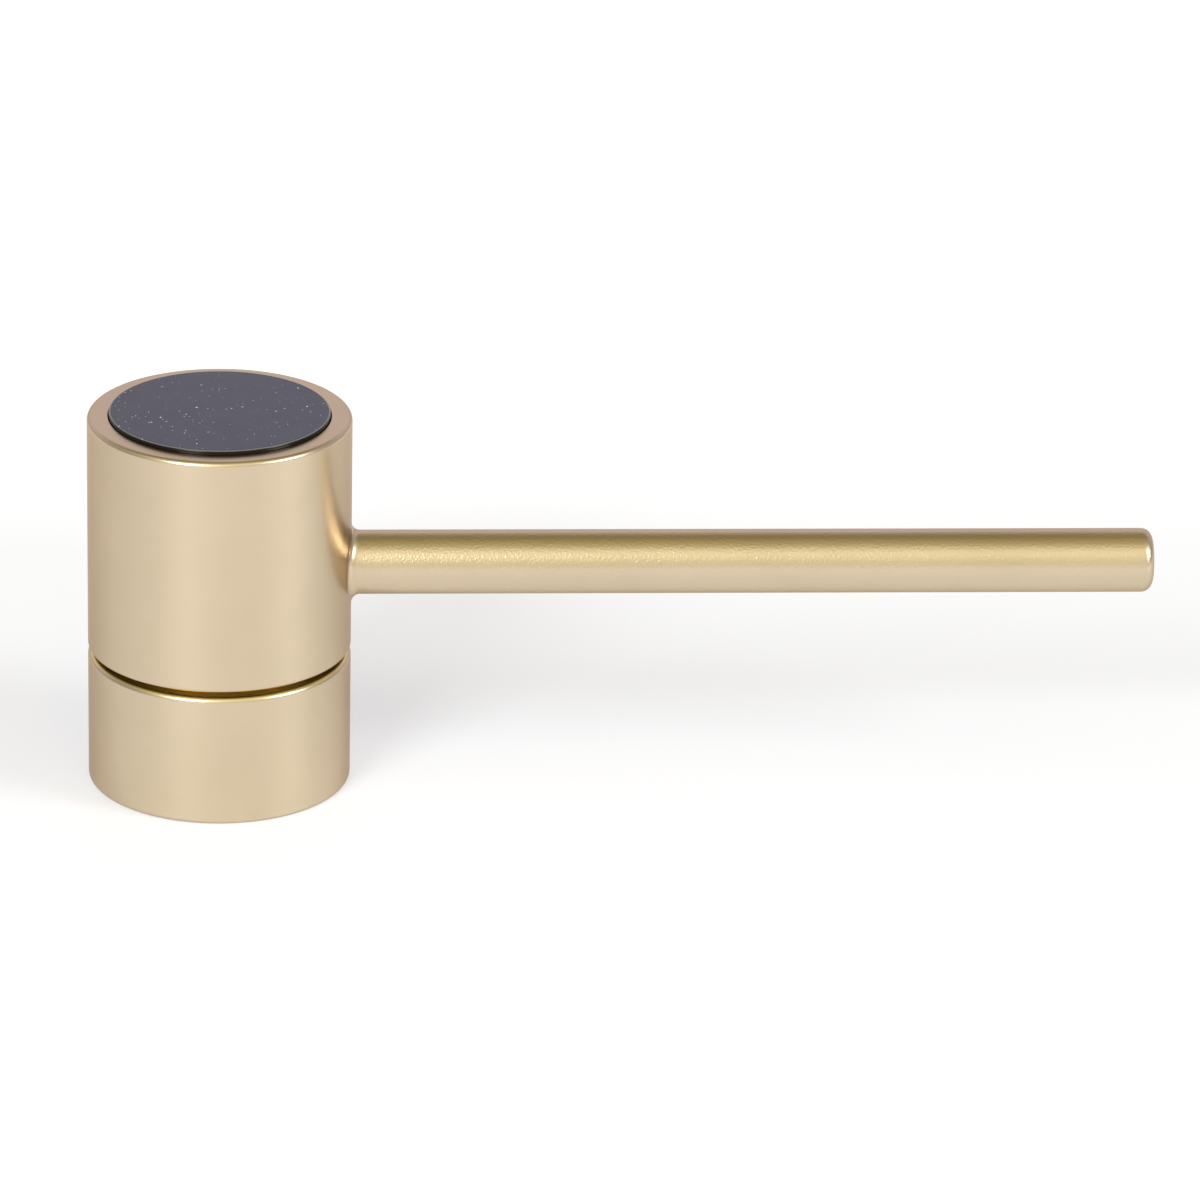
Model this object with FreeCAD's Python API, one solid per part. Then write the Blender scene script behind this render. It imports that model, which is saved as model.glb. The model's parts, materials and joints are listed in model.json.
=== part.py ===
"""Pin-lever tap control: a drum-shaped lever hub that turns on a fixed collar over a ceramic cartridge.

The cartridge is the 25 mm kind. Millimetres, +Z up. The origin is on the turning axis, on the deck plane
that the collar stands on. The lever points along +X at rest. Each function makes one separate piece, in
its assembled place.
"""

import FreeCAD
import Part

import math
import os

V = FreeCAD.Vector
ORIGIN = V(0, 0, 0)
X_AXIS = V(1, 0, 0)
Y_AXIS = V(0, 1, 0)
Z_AXIS = V(0, 0, 1)

# Driving dimensions of the outside
drum_radius = 18.0
collar_height = 18.6
shadow_gap = 0.8
hub_height = 33.4
lever_radius = 4.4
lever_reach = 128.1          # from the turning axis to the lever's tip
lever_above_hub_base = 11.8
inlay_radius = 15.05
inlay_thickness = 3.1
inlay_proud = 0.65

# Clearances and allowances
press_clearance = 0.05
running_clearance = 0.07
film_gap = 0.05              # water film between the ceramic discs
small_play = 0.1
overshoot = 1.0              # how far a cutting tool runs past the face that it opens
overlap = 0.5                # how deep two volumes of one piece run into each other

# Collar
rim_radius = 0.7             # rounding of the hub's top rim
collar_edge_radius = 0.8     # rounding of the collar's top rim
hub_edge_radius = 0.5        # rounding of the hub's bottom rim
foot_radius = 0.6            # rounding of the collar's foot
neck_bore_radius = 14.6      # crest radius of the female thread for the valve neck
neck_bore_depth = 6.0
neck_chamfer = 0.5
shoulder_thickness = 2.6
shoulder_hole_radius = 10.8
collar_bore_radius = 14.4
gasket_inner_radius = 15.7
gasket_outer_radius = 16.9
gasket_thickness = 1.2

# Hub
hub_wall = 2.65
hub_web_thickness = 3.5
boss_radius = 9.0
boss_above_stop_ring = 1.2
lug_start = 5.0              # how far from the turning axis both lugs begin
lever_lug_radius = 4.7
grub_lug_radius = 4.2
screw_head_room_radius = 4.5
screw_head_room_height = 4.4

# Lever
neck_start = 10.0
neck_fillet = 1.3
neck_length = 1.5            # from the drum's surface to the lever's seat
lever_tip_radius = 1.5
lever_tapping_depth = 8.5
stud_hole_start = 10.5
stud_start = 10.8
stud_length = 16.5

# Stone inlay
inlay_rounding = 0.35
inlay_side_play = 0.1
inlay_bond_thickness = 0.3
inlay_bond_inset = 0.6

# Cartridge
cartridge_radius = 12.5
cartridge_height = 14.4
cartridge_rounding = 0.5
cartridge_flange_radius = 14.2
cartridge_flange_thickness = 2.4
cartridge_cavity_radius = 10.6
cartridge_cavity_height = 10.4
peg_circle_radius = 12.6
peg_radius = 1.2
peg_length = 1.8
base_height = 2.55           # how far the cartridge base reaches above the collar's shoulder
base_chamfer = 0.3
port_angles = (30.0, 150.0, 270.0)
port_circle_radius = 5.6
port_radius = 2.1
port_seal_wall = 0.8
nut_wall = 1.7
nut_height = 11.4
nut_radial_play = 0.15
nut_collar_step = 0.45       # how much slimmer the nut is above the collar, to take the guide ring
nut_slot_width = 3.0
nut_slot_depth = 1.6
guide_ring_height = 3.5

# Ceramic discs and their driver
disc_thickness = 2.4
moving_disc_radius = 9.8
pocket_outer_radius = 7.9
pocket_inner_radius = 3.3
pocket_start_angle = 85.0
pocket_end_angle = 215.0
pocket_depth = 0.9
driver_radius = 10.2
driver_thickness = 2.8
driver_peg_radius = 1.5
driver_peg_length = 1.2
driver_peg_offset = 7.0
key_above_disc = 0.6
key_length = 14.0
key_width = 5.0

# Spindle
journal_radius = 5.03
o_ring_section_radius = 0.62
o_ring_shares = (0.29, 0.73)  # places of the O-rings along the journal
circlip_groove_radius = 3.5
circlip_outer_radius = 5.9
circlip_thickness = 0.8
circlip_half_angle = 150.0
circlip_above_cartridge = 0.3
spline_teeth = 20
spline_tip_radius = 4.0
spline_root_radius = 3.6
spline_lead_in = 0.4
spindle_top = 36.0
spindle_tapping_depth = 9.5

# Quarter turn stop
turn_angle = 90.0
tab_rest_angle = 180.0
tab_half_angle = 12.0
tab_radius = 10.8
stop_margin_angle = 0.6
stop_wall_inner_radius = 8.5
stop_wall_outer_radius = 11.5
stop_wall_step = 0.4         # how much lower the stop wall is than the stop ring's top
stop_ring_radius = 7.0
stop_ring_thickness = 1.8
stop_ring_above_spline = 0.2

# Fasteners
m5_radius = 2.5
m4_radius = 2.0
screw_chamfer = 0.4
screw_head_radius = 3.5
screw_head_height = 2.8
screw_head_chamfer = 0.3
screw_socket_flats = 3.0
screw_socket_depth = 2.0
screw_reach = 8.0            # how far the adapter screw enters the spindle
adapter_flats = 12.0
adapter_above_spindle = 3.1
grub_above_boss = 5.5
grub_length = 8.0
grub_socket_flats = 2.5
grub_socket_depth = 3.0
plug_start = 16.2
plug_length = 2.2
plug_inset = 0.06

# Levels worked out from the driving dimensions
hub_base = collar_height + shadow_gap
hub_top = hub_base + hub_height
lever_z = hub_base + lever_above_hub_base
hub_bore_radius = drum_radius - hub_wall
lever_seat_x = drum_radius + neck_length
inlay_top = hub_top + inlay_proud
recess_floor = inlay_top - inlay_thickness - inlay_bond_thickness
web_bottom = recess_floor - hub_web_thickness
shoulder_top = neck_bore_depth + shoulder_thickness
flange_top = shoulder_top + cartridge_flange_thickness
cartridge_top = shoulder_top + cartridge_height
cavity_top = shoulder_top + cartridge_cavity_height
base_top = shoulder_top + base_height
fixed_disc_bottom = base_top + press_clearance
fixed_disc_top = fixed_disc_bottom + disc_thickness
moving_disc_bottom = fixed_disc_top + film_gap
driver_bottom = moving_disc_bottom + disc_thickness
driver_top = driver_bottom + driver_thickness
key_bottom = driver_bottom + key_above_disc
circlip_bottom = cartridge_top + circlip_above_cartridge
spline_bottom = circlip_bottom + circlip_thickness + press_clearance
stop_ring_bottom = spline_bottom + stop_ring_above_spline
stop_ring_top = stop_ring_bottom + stop_ring_thickness
boss_bottom = stop_ring_top + boss_above_stop_ring
adapter_top = spindle_top + adapter_above_spindle
grub_z = boss_bottom + grub_above_boss
nut_inner_radius = cartridge_radius + nut_radial_play
nut_outer_radius = nut_inner_radius + nut_wall
nut_upper_radius = nut_outer_radius - nut_collar_step


def cylinder(radius, bottom, top, centre=(0.0, 0.0)):
    """An upright cylinder between two levels."""
    return Part.makeCylinder(radius, top - bottom, V(centre[0], centre[1], bottom), Z_AXIS)


def rod_along_x(radius, start, length, level):
    """A cylinder that starts at x = start on the lever's side of the turning axis and runs along +X."""
    return Part.makeCylinder(radius, length, V(start, 0, level), X_AXIS)


def rod_along_y(radius, start, length, level):
    """A cylinder that starts at y = start behind the turning axis and runs along +Y."""
    return Part.makeCylinder(radius, length, V(0, start, level), Y_AXIS)


def ring(outer, inner, bottom, top):
    """An upright ring between two levels."""
    return cylinder(outer, bottom, top).cut(cylinder(inner, bottom - overshoot, top + overshoot))


def prism(points, bottom, top):
    """An upright prism over a closed outline in XY."""
    corners = [V(x, y, bottom) for x, y in points]
    outline = Part.makePolygon(corners + corners[:1])
    return Part.Face(outline).extrude(V(0, 0, top - bottom))


def hexagon(flats):
    """Corners of a hexagon of the given size across its flats."""
    corner_radius = flats / 2.0 / math.cos(math.pi / 6.0)
    angles = [math.pi / 3.0 * i for i in range(6)]
    return [(corner_radius * math.cos(a), corner_radius * math.sin(a)) for a in angles]


def spline_outline(grow=0.0):
    """Outline of the straight-sided spline, each tooth a flat-topped ridge, grown by a clearance."""
    pitch = 2.0 * math.pi / spline_teeth
    root_half, tip_half = 0.32, 0.14
    points = []
    for tooth in range(spline_teeth):
        for share, radius in ((-root_half, spline_root_radius), (-tip_half, spline_tip_radius),
                              (tip_half, spline_tip_radius), (root_half, spline_root_radius)):
            angle = (tooth + share) * pitch
            points.append(((radius + grow) * math.cos(angle), (radius + grow) * math.sin(angle)))
    return points


def sector(outer, inner, start, end, bottom, top):
    """Part of an upright ring, from one angle to another in degrees, counterclockwise."""
    profile = Part.makePolygon([V(inner, 0, bottom), V(outer, 0, bottom), V(outer, 0, top),
                                V(inner, 0, top), V(inner, 0, bottom)])
    solid = Part.Face(profile).revolve(ORIGIN, Z_AXIS, end - start)
    solid.rotate(ORIGIN, Z_AXIS, start)
    return solid


def rim_edges(shape, radius, level):
    """The circular edges of a shape with that radius, about the turning axis, at that level."""
    found = []
    for edge in shape.Edges:
        curve = edge.Curve
        if not isinstance(curve, Part.Circle) or abs(curve.Radius - radius) > 1e-3:
            continue
        if abs(curve.Center.z - level) < 1e-3 and math.hypot(curve.Center.x, curve.Center.y) < 1e-3:
            found.append(edge)
    return found


def circle_edges(shape):
    """Every circular edge of a shape."""
    return [edge for edge in shape.Edges if isinstance(edge.Curve, Part.Circle)]


def hex_socket(flats, depth, mouth, inward):
    """The hexagonal key socket of a screw: a prism from the mouth's centre, inward."""
    tool = prism(hexagon(flats), 0.0, depth)
    tool.Placement = FreeCAD.Placement(mouth, FreeCAD.Rotation(Z_AXIS, inward))
    return tool


def both_sides(offset):
    """Two places on the X axis, one each side of the turning axis."""
    return [(-offset, 0.0), (offset, 0.0)]


# Fixed pieces: the collar and the still part of the cartridge


def base_collar():
    """Turned ring that stands on the deck and holds the cartridge on an inner shoulder."""
    body = cylinder(drum_radius, 0.0, collar_height)
    body = body.makeFillet(foot_radius, rim_edges(body, drum_radius, 0.0))
    body = body.makeFillet(collar_edge_radius, rim_edges(body, drum_radius, collar_height))
    body = body.cut(cylinder(neck_bore_radius, -overshoot, neck_bore_depth))
    body = body.cut(cylinder(shoulder_hole_radius, -overshoot, collar_height))
    body = body.cut(cylinder(collar_bore_radius, shoulder_top, collar_height + overshoot))
    body = body.makeChamfer(neck_chamfer, rim_edges(body, neck_bore_radius, 0.0))
    body = body.cut(ring(gasket_outer_radius, gasket_inner_radius, -overshoot, gasket_thickness))
    for centre in both_sides(peg_circle_radius):
        body = body.cut(cylinder(peg_radius + small_play, neck_bore_depth - overshoot,
                                 shoulder_top + overshoot, centre))
    return body


def deck_gasket():
    """Flat rubber ring in the collar's foot groove, flush with the deck plane."""
    return ring(gasket_outer_radius - press_clearance, gasket_inner_radius + press_clearance,
                0.0, gasket_thickness - press_clearance)


def cartridge_housing():
    """Moulded cartridge shell: locating flange and pegs, disc cavity, spindle bore and turn stop."""
    shell = cylinder(cartridge_radius, shoulder_top, cartridge_top)
    shell = shell.makeFillet(cartridge_rounding, rim_edges(shell, cartridge_radius, cartridge_top))
    shell = shell.fuse(cylinder(cartridge_flange_radius, shoulder_top, flange_top))
    for centre in both_sides(peg_circle_radius):
        shell = shell.fuse(cylinder(peg_radius, shoulder_top - peg_length, shoulder_top + overlap, centre))
    free_start = tab_rest_angle - turn_angle - tab_half_angle - stop_margin_angle
    free_end = tab_rest_angle + tab_half_angle + stop_margin_angle
    shell = shell.fuse(sector(stop_wall_outer_radius, stop_wall_inner_radius, free_end, free_start + 360.0,
                              cartridge_top - overlap, stop_ring_top - stop_wall_step))
    shell = shell.cut(cylinder(cartridge_cavity_radius, shoulder_top - overshoot, cavity_top))
    shell = shell.cut(cylinder(journal_radius + press_clearance, cavity_top - overshoot,
                               cartridge_top + overshoot))
    return shell.removeSplitter()


def port_centre(angle):
    """Centre of a water port, from its angle in degrees."""
    return (port_circle_radius * math.cos(math.radians(angle)),
            port_circle_radius * math.sin(math.radians(angle)))


def cartridge_base():
    """Moulded plug that closes the cartridge from below, with a seat for each port seal."""
    bottom = neck_bore_depth + small_play
    radius = cartridge_cavity_radius - press_clearance
    body = cylinder(radius, bottom, base_top)
    body = body.makeChamfer(base_chamfer, rim_edges(body, radius, bottom))
    for angle in port_angles:
        body = body.cut(cylinder(port_radius + port_seal_wall + press_clearance, bottom - overshoot,
                                 base_top + overshoot, port_centre(angle)))
    return body


def port_seal(angle):
    """Rubber sleeve through the cartridge base, between the valve neck's face and the fixed disc."""
    bottom = neck_bore_depth + press_clearance
    centre = port_centre(angle)
    sleeve = cylinder(port_radius + port_seal_wall, bottom, base_top, centre)
    return sleeve.cut(cylinder(port_radius, bottom - overshoot, base_top + overshoot, centre))


def fixed_ceramic_disc():
    """Still ceramic disc with the three water ports."""
    disc = cylinder(cartridge_cavity_radius - press_clearance, fixed_disc_bottom, fixed_disc_top)
    for angle in port_angles:
        disc = disc.cut(cylinder(port_radius, fixed_disc_bottom - overshoot, fixed_disc_top + overshoot,
                                 port_centre(angle)))
    return disc


def cartridge_nut():
    """Brass ring nut that holds the cartridge flange down, with four spanner slots in its top."""
    top = flange_top + nut_height
    nut = ring(nut_outer_radius, nut_inner_radius, flange_top, collar_height)
    nut = nut.fuse(ring(nut_upper_radius, nut_inner_radius, collar_height - overlap, top))
    for turn in (45.0, 135.0):
        slot = Part.makeBox(2.0 * drum_radius, nut_slot_width, nut_slot_depth + overshoot,
                            V(-drum_radius, -nut_slot_width / 2.0, top - nut_slot_depth))
        slot.rotate(ORIGIN, Z_AXIS, turn)
        nut = nut.cut(slot)
    return nut.removeSplitter()


def guide_ring():
    """Low-friction ring on the nut that keeps the hub concentric with the collar."""
    bottom = collar_height + press_clearance
    return ring(hub_bore_radius - running_clearance, nut_upper_radius + press_clearance,
                bottom, bottom + guide_ring_height)


# Turning pieces: the hub, the lever and the turning part of the cartridge


def neck_junction(drum):
    """The edges where the lever's neck meets the drum."""
    found = []
    for edge in drum.Edges:
        box = edge.BoundBox
        at_crown = abs(box.ZMax - lever_z - lever_radius) < 0.01
        at_belly = abs(box.ZMin - lever_z + lever_radius) < 0.01
        crosses_drum = box.XMax - box.XMin > 0.1 and box.XMax < drum_radius + 0.1
        if (at_crown or at_belly) and crosses_drum:
            found.append(edge)
    return found


def lever_hub():
    """Hollow drum with a recessed top, a neck for the lever and a boss over the spindle."""
    drum = cylinder(drum_radius, hub_base, hub_top)
    neck = rod_along_x(lever_radius, neck_start, lever_seat_x - neck_start, lever_z)
    drum = drum.fuse(neck).removeSplitter()
    drum = drum.makeFillet(neck_fillet, neck_junction(drum))
    drum = drum.makeFillet(rim_radius, rim_edges(drum, drum_radius, hub_top))
    drum = drum.makeFillet(hub_edge_radius, rim_edges(drum, drum_radius, hub_base))
    drum = drum.cut(cylinder(hub_bore_radius, hub_base - overshoot, web_bottom))
    drum = drum.cut(cylinder(inlay_radius + inlay_side_play, recess_floor, hub_top + overshoot))
    core = cylinder(boss_radius, boss_bottom, web_bottom + overlap)
    lug_length = hub_bore_radius - lug_start + overlap
    lever_lug = rod_along_x(lever_lug_radius, lug_start, lug_length, lever_z)
    grub_lug = rod_along_y(grub_lug_radius, lug_start, lug_length, grub_z)
    drum = drum.fuse([core, lever_lug, grub_lug]).removeSplitter()
    pocket = prism(hexagon(adapter_flats + small_play), boss_bottom - overshoot,
                   adapter_top + press_clearance)
    head_room = cylinder(screw_head_room_radius, adapter_top - overshoot,
                         adapter_top + screw_head_room_height)
    stud_hole = rod_along_x(m5_radius, stud_hole_start, drum_radius, lever_z)
    grub_hole = rod_along_y(m5_radius, lug_start, drum_radius, grub_z)
    return drum.cut([pocket, head_room, stud_hole, grub_hole])


def lever_rod():
    """Solid round lever with a rounded tip, tapped at its root for the stud, flush with the hub's neck."""
    rod = rod_along_x(lever_radius, lever_seat_x, lever_reach - lever_seat_x, lever_z)
    tip = [edge for edge in rod.Edges if edge.BoundBox.XMin > lever_reach - 0.01]
    rod = rod.makeFillet(lever_tip_radius, tip)
    tapping = rod_along_x(m5_radius, lever_seat_x - overshoot, lever_tapping_depth + overshoot, lever_z)
    return rod.cut(tapping)


def lever_stud():
    """M5 stud that joins the lever to the hub's lug."""
    stud = rod_along_x(m5_radius - press_clearance, stud_start, stud_length, lever_z)
    return stud.makeChamfer(screw_chamfer, circle_edges(stud))


def inlay_disc():
    """Polished stone disc set in the hub's top, standing a little proud of the metal rim."""
    disc = cylinder(inlay_radius, inlay_top - inlay_thickness, inlay_top)
    return disc.makeFillet(inlay_rounding, rim_edges(disc, inlay_radius, inlay_top))


def inlay_bond():
    """Layer of adhesive under the stone."""
    return cylinder(inlay_radius - inlay_bond_inset, recess_floor, recess_floor + inlay_bond_thickness)


def spline_adapter():
    """Hexagonal bush between the spindle's spline and the hub's socket."""
    bottom = boss_bottom + small_play
    bush = prism(hexagon(adapter_flats), bottom, adapter_top)
    bush = bush.cut(prism(spline_outline(small_play), bottom - overshoot, spindle_top + 2.0 * small_play))
    return bush.cut(cylinder(m4_radius + 0.15, spindle_top - overshoot, adapter_top + overshoot))


def adapter_screw():
    """M4 socket screw that holds the adapter on the spindle."""
    head_top = adapter_top + screw_head_height
    head = cylinder(screw_head_radius, adapter_top, head_top)
    head = head.makeChamfer(screw_head_chamfer, rim_edges(head, screw_head_radius, head_top))
    screw = head.fuse(cylinder(m4_radius - 0.35, spindle_top - screw_reach, adapter_top + overlap))
    socket = hex_socket(screw_socket_flats, screw_socket_depth, V(0, 0, head_top), -Z_AXIS)
    return screw.cut(socket).removeSplitter()


def grub_screw():
    """M5 grub screw in the hub's rear lug, tight against the adapter."""
    start = adapter_flats / 2.0
    screw = rod_along_y(m5_radius - press_clearance, start, grub_length, grub_z)
    screw = screw.makeChamfer(screw_chamfer, circle_edges(screw))
    mouth = V(0, start + grub_length, grub_z)
    return screw.cut(hex_socket(grub_socket_flats, grub_socket_depth, mouth, -Y_AXIS))


def grub_plug():
    """Small cap that closes the grub screw's hole, its face following the drum."""
    plug = rod_along_y(m5_radius - press_clearance, plug_start, plug_length, grub_z)
    span = 2.0 * m5_radius
    return plug.common(cylinder(drum_radius - plug_inset, grub_z - span, grub_z + span))


def o_ring_levels():
    """Heights of the two O-rings on the spindle's journal."""
    journal_length = cartridge_top - cavity_top
    return [cavity_top + journal_length * share for share in o_ring_shares]


def spindle():
    """Brass spindle: driving key, sealed journal, circlip groove and splined head with a tapped end."""
    journal_bottom = driver_top + press_clearance
    journal_top = circlip_bottom - press_clearance
    key = Part.makeBox(key_length, key_width, journal_bottom - key_bottom,
                       V(-key_length / 2.0, -key_width / 2.0, key_bottom))
    body = key.common(cylinder(key_length / 2.0, key_bottom - overshoot, cavity_top))
    body = body.fuse(cylinder(journal_radius, journal_bottom, journal_top))
    groove_half = o_ring_section_radius + press_clearance
    for level in o_ring_levels():
        body = body.cut(ring(journal_radius + overshoot, journal_radius - 2.0 * o_ring_section_radius,
                             level - groove_half, level + groove_half))
    body = body.fuse(cylinder(circlip_groove_radius, journal_top - overlap, spline_bottom + overlap))
    head = prism(spline_outline(), spline_bottom, spindle_top)
    head_length = spindle_top - spline_bottom
    lead_in = Part.makeCone(spline_tip_radius - spline_lead_in + head_length,
                            spline_tip_radius - spline_lead_in, head_length, V(0, 0, spline_bottom), Z_AXIS)
    body = body.fuse(head.common(lead_in))
    body = body.cut(cylinder(m4_radius - 0.3, spindle_top - spindle_tapping_depth, spindle_top + overshoot))
    return body.removeSplitter()


def spindle_o_ring(level):
    """O-ring in a groove of the journal."""
    centre_radius = journal_radius - o_ring_section_radius
    return Part.makeTorus(centre_radius, o_ring_section_radius - 0.01, V(0, 0, level), Z_AXIS)


def spindle_circlip():
    """Open retaining ring that keeps the spindle from dropping into the cartridge."""
    top = circlip_bottom + circlip_thickness
    return sector(circlip_outer_radius, circlip_groove_radius + press_clearance,
                  -circlip_half_angle, circlip_half_angle, circlip_bottom, top)


def stop_ring():
    """Splined ring with a tab that meets the housing's stop wall at both ends of the quarter turn."""
    body = cylinder(stop_ring_radius, stop_ring_bottom, stop_ring_top)
    tab = sector(tab_radius, stop_ring_radius - 2.0, tab_rest_angle - tab_half_angle,
                 tab_rest_angle + tab_half_angle, stop_ring_bottom, stop_ring_top)
    body = body.fuse(tab).removeSplitter()
    return body.cut(prism(spline_outline(press_clearance), stop_ring_bottom - overshoot,
                          stop_ring_top + overshoot))


def disc_driver():
    """Moulded plate that takes the spindle's key and turns the upper disc by two pegs."""
    plate = cylinder(driver_radius, driver_bottom, driver_top)
    slot_length = key_length + 2.0 * small_play
    slot_width = key_width + 2.0 * small_play
    slot = Part.makeBox(slot_length, slot_width, driver_thickness,
                        V(-slot_length / 2.0, -slot_width / 2.0, key_bottom - press_clearance))
    plate = plate.cut(slot)
    for side in (-driver_peg_offset, driver_peg_offset):
        plate = plate.fuse(cylinder(driver_peg_radius, driver_bottom - driver_peg_length,
                                    driver_bottom + key_above_disc / 2.0, (0.0, side)))
    return plate.removeSplitter()


def moving_ceramic_disc():
    """Turning ceramic disc with a mixing pocket in its lower face and holes for the driver's pegs."""
    top = moving_disc_bottom + disc_thickness
    disc = cylinder(moving_disc_radius, moving_disc_bottom, top)
    disc = disc.cut(sector(pocket_outer_radius, pocket_inner_radius, pocket_start_angle, pocket_end_angle,
                           moving_disc_bottom - overshoot, moving_disc_bottom + pocket_depth))
    for side in (-driver_peg_offset, driver_peg_offset):
        disc = disc.cut(cylinder(driver_peg_radius + small_play, top - driver_peg_length - 0.15,
                                 top + overshoot, (0.0, side)))
    return disc


def pieces():
    """Every piece by its node name."""
    made = {
        "base_collar": base_collar(),
        "deck_gasket": deck_gasket(),
        "cartridge_housing": cartridge_housing(),
        "cartridge_base": cartridge_base(),
        "fixed_ceramic_disc": fixed_ceramic_disc(),
        "cartridge_nut": cartridge_nut(),
        "guide_ring": guide_ring(),
        "lever_hub": lever_hub(),
        "lever_rod": lever_rod(),
        "lever_stud": lever_stud(),
        "inlay_disc": inlay_disc(),
        "inlay_bond": inlay_bond(),
        "spline_adapter": spline_adapter(),
        "adapter_screw": adapter_screw(),
        "grub_screw": grub_screw(),
        "grub_plug": grub_plug(),
        "spindle": spindle(),
        "spindle_circlip": spindle_circlip(),
        "stop_ring": stop_ring(),
        "disc_driver": disc_driver(),
        "moving_ceramic_disc": moving_ceramic_disc(),
    }
    for number, angle in enumerate(port_angles, start=1):
        made["port_seal_%d" % number] = port_seal(angle)
    for name, level in zip(("lower", "upper"), o_ring_levels()):
        made["spindle_o_ring_" + name] = spindle_o_ring(level)
    return made


def main():
    os.makedirs("parts", exist_ok=True)
    for name, shape in pieces().items():
        solids = shape.Solids
        closed = all(s.isValid() and s.isClosed() for s in solids)
        print("%-22s solids %d  valid %s  volume %9.2f" % (name, len(solids), closed, shape.Volume))
        shape.exportStep("parts/%s.step" % name)


main()
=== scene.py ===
"""Looks of the pin-lever tap control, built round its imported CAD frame.

Metres, +Z up, the lever along +X at rest. Colours are linear RGB.
"""

import json
import math

import bpy
import numpy as np
from mathutils import Matrix, Vector


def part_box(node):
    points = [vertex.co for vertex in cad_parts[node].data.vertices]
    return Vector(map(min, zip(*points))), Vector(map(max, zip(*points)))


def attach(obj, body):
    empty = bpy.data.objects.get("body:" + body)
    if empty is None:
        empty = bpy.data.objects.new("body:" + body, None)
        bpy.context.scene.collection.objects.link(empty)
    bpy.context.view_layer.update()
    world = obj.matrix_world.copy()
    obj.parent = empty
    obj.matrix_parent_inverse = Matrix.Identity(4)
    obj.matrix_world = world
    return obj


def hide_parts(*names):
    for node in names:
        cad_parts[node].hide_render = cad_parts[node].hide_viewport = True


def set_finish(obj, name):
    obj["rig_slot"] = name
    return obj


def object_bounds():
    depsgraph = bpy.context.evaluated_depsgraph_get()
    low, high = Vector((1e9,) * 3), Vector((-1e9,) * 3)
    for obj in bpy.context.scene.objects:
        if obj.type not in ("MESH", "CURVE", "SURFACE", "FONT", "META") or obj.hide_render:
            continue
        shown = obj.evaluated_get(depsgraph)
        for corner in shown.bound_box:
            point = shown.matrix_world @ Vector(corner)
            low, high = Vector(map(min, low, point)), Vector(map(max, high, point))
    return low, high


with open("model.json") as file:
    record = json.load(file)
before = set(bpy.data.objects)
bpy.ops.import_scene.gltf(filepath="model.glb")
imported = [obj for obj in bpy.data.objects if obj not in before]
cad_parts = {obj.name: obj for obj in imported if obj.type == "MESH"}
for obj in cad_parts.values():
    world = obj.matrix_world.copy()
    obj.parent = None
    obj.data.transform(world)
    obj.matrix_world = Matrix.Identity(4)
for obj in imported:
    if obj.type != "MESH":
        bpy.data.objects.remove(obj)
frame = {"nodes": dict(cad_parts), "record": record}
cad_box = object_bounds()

MM = 0.001
FULL_TURN = 2 * math.pi
X_WAY = np.array([1.0, 0.0, 0.0])

# ---------------------------------------------------------------- camera

camera_distance = 1.0
camera_azimuth = -3.8        # degrees, from the object's front towards its left
camera_elevation = 22.654
camera_roll = 1.309
camera_lens = 219.29         # mm
camera_sensor = 36.0         # mm
camera_near = 0.05
camera_far = 20.0
aim_offset = Vector((-3.106, -3.450, 0.147)) * MM


def way_towards(azimuth, elevation):
    """Unit vector from the object towards a place at an azimuth and elevation in degrees."""
    azimuth = math.radians(azimuth)
    elevation = math.radians(elevation)
    level = math.cos(elevation)
    return Vector((math.sin(azimuth) * level, -math.cos(azimuth) * level, math.sin(elevation)))


def add_camera():
    """The camera, aimed near the middle of the object."""
    aim = (cad_box[0] + cad_box[1]) / 2 + aim_offset
    back = way_towards(camera_azimuth, camera_elevation)
    camera = bpy.data.objects.new("camera", bpy.data.cameras.new("camera"))
    bpy.context.scene.collection.objects.link(camera)
    camera.data.sensor_width = camera_sensor
    camera.data.lens = camera_lens
    camera.data.clip_start = camera_near
    camera.data.clip_end = camera_far
    place = Matrix.Translation(aim + back * camera_distance)
    look = (-back).to_track_quat("-Z", "Y").to_matrix().to_4x4()
    roll = Matrix.Rotation(math.radians(camera_roll), 4, "Z")
    camera.matrix_world = place @ look @ roll
    bpy.context.scene.camera = camera


# ---------------------------------------------------------------- sizes, read from the frame

collar_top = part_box("base_collar")[1].z
hub_low, hub_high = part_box("lever_hub")
rod_low, rod_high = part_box("lever_rod")
inlay_low, inlay_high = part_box("inlay_disc")
gasket_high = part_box("deck_gasket")[1]
plug_low, plug_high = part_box("grub_plug")

drum_radius = -hub_low.x
hub_base = hub_low.z
hub_top = hub_high.z
lever_radius = (rod_high.z - rod_low.z) / 2
lever_level = (rod_high.z + rod_low.z) / 2
lever_seat = rod_low.x
lever_tip = rod_high.x
inlay_radius = inlay_high.x
inlay_top = inlay_high.z
grub_level = (plug_low.z + plug_high.z) / 2
mounts = {mount["name"]: mount for mount in frame["record"]["mounts"]}
thread_crest = mounts["valve_neck_thread"]["dims"]["r_mm"] * MM

# ---------------------------------------------------------------- sizes that the frame's boxes don't give

sharp = 0.08 * MM            # rounding of an edge that looks sharp
rim_radius = 0.7 * MM        # roundings of the drum's edges, from the top down
hub_edge_radius = 0.5 * MM
collar_edge_radius = 0.8 * MM
foot_radius = 0.6 * MM

collar_bore = 14.4 * MM
collar_bore_edge = 0.15 * MM
shoulder_top = 8.6 * MM
shoulder_bottom = 6.0 * MM
shoulder_hole = 10.8 * MM
groove_inner = 15.7 * MM
groove_outer = gasket_high.x + 0.05 * MM
groove_top = gasket_high.z + 0.05 * MM

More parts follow.
